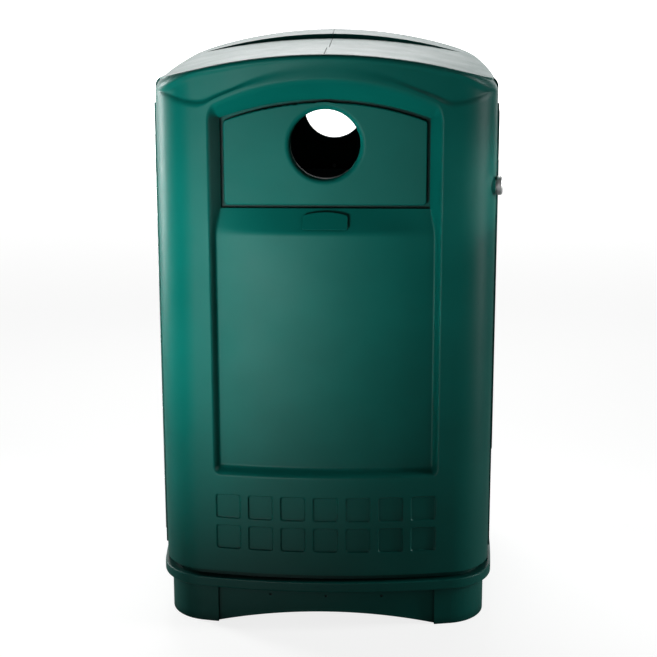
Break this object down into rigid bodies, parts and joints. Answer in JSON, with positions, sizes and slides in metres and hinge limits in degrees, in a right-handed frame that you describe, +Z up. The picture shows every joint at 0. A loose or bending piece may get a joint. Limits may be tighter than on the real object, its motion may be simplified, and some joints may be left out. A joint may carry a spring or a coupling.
{
  "type": "outdoor bottle and can recycling container",
  "caption": "Free-standing outdoor container with a barrel roof, see-through round drop holes front and back, a full-height hinged door with a key lock, and a lift-out liner.",
  "frame": {"origin": "on the ground under the middle of the container", "axes": "+Z up, -Y the front with the door, +X the lock side, -X the hinge side"},
  "size_m": [0.641, 0.629, 1.07],
  "materials": {
    "green_plastic": "satin moulded",
    "green_panel": "satin moulded",
    "green_base": "satin moulded",
    "green_badge": "satin moulded",
    "stainless_steel": "brushed",
    "zinc_fasteners": "zinc plated",
    "lock_chrome": "polished",
    "lock_brass": "machined",
    "black_rubber": "matt",
    "grey_liner": "moulded"
  },
  "bodies": {
    "cabinet": {"base": "green_base", "anchor_washers": "zinc_fasteners", "left_side_shell": "green_plastic", "right_side_shell": "green_plastic", "back_shell": "green_plastic", "back_hole_panel": "green_panel", "back_panel_screws": "zinc_fasteners", "roof_seam_bolts": "zinc_fasteners", "back_seam_bolts": "zinc_fasteners", "base_bolts": "zinc_fasteners", "hinge_frame_leaf": "stainless_steel", "hinge_frame_rivets": "stainless_steel", "hinge_pin": "stainless_steel", "lock_keeper": "zinc_fasteners", "lock_keeper_screws": "zinc_fasteners", "door_bumpers": "black_rubber"},
    "door": {"front_door": "green_plastic", "front_hole_panel": "green_panel", "front_panel_screws": "zinc_fasteners", "badge": "green_badge", "hinge_door_leaf": "stainless_steel", "hinge_door_rivets": "stainless_steel", "lock_housing": "lock_chrome", "lock_nut": "zinc_fasteners"},
    "lock": {"lock_plug": "lock_brass", "lock_cam": "zinc_fasteners", "lock_cam_screw": "zinc_fasteners"},
    "liner": {"liner": "grey_liner"}
  },
  "joints": [
    {"name": "door_swing", "type": "hinge", "parent": "cabinet", "child": "door", "pos_m": [-0.308, -0.205, 0.536], "axis": [0, 0, -1], "range_deg": [0, 120]},
    {"name": "lock_turn", "type": "hinge", "parent": "door", "child": "lock", "pos_m": [0.3, -0.228, 0.8295], "axis": [-1, 0, 0], "range_deg": [0, 80]},
    {"name": "liner_lift", "type": "slide", "parent": "cabinet", "child": "liner", "axis": [0, 0, 1], "range_m": [0, 0.05]}
  ]
}
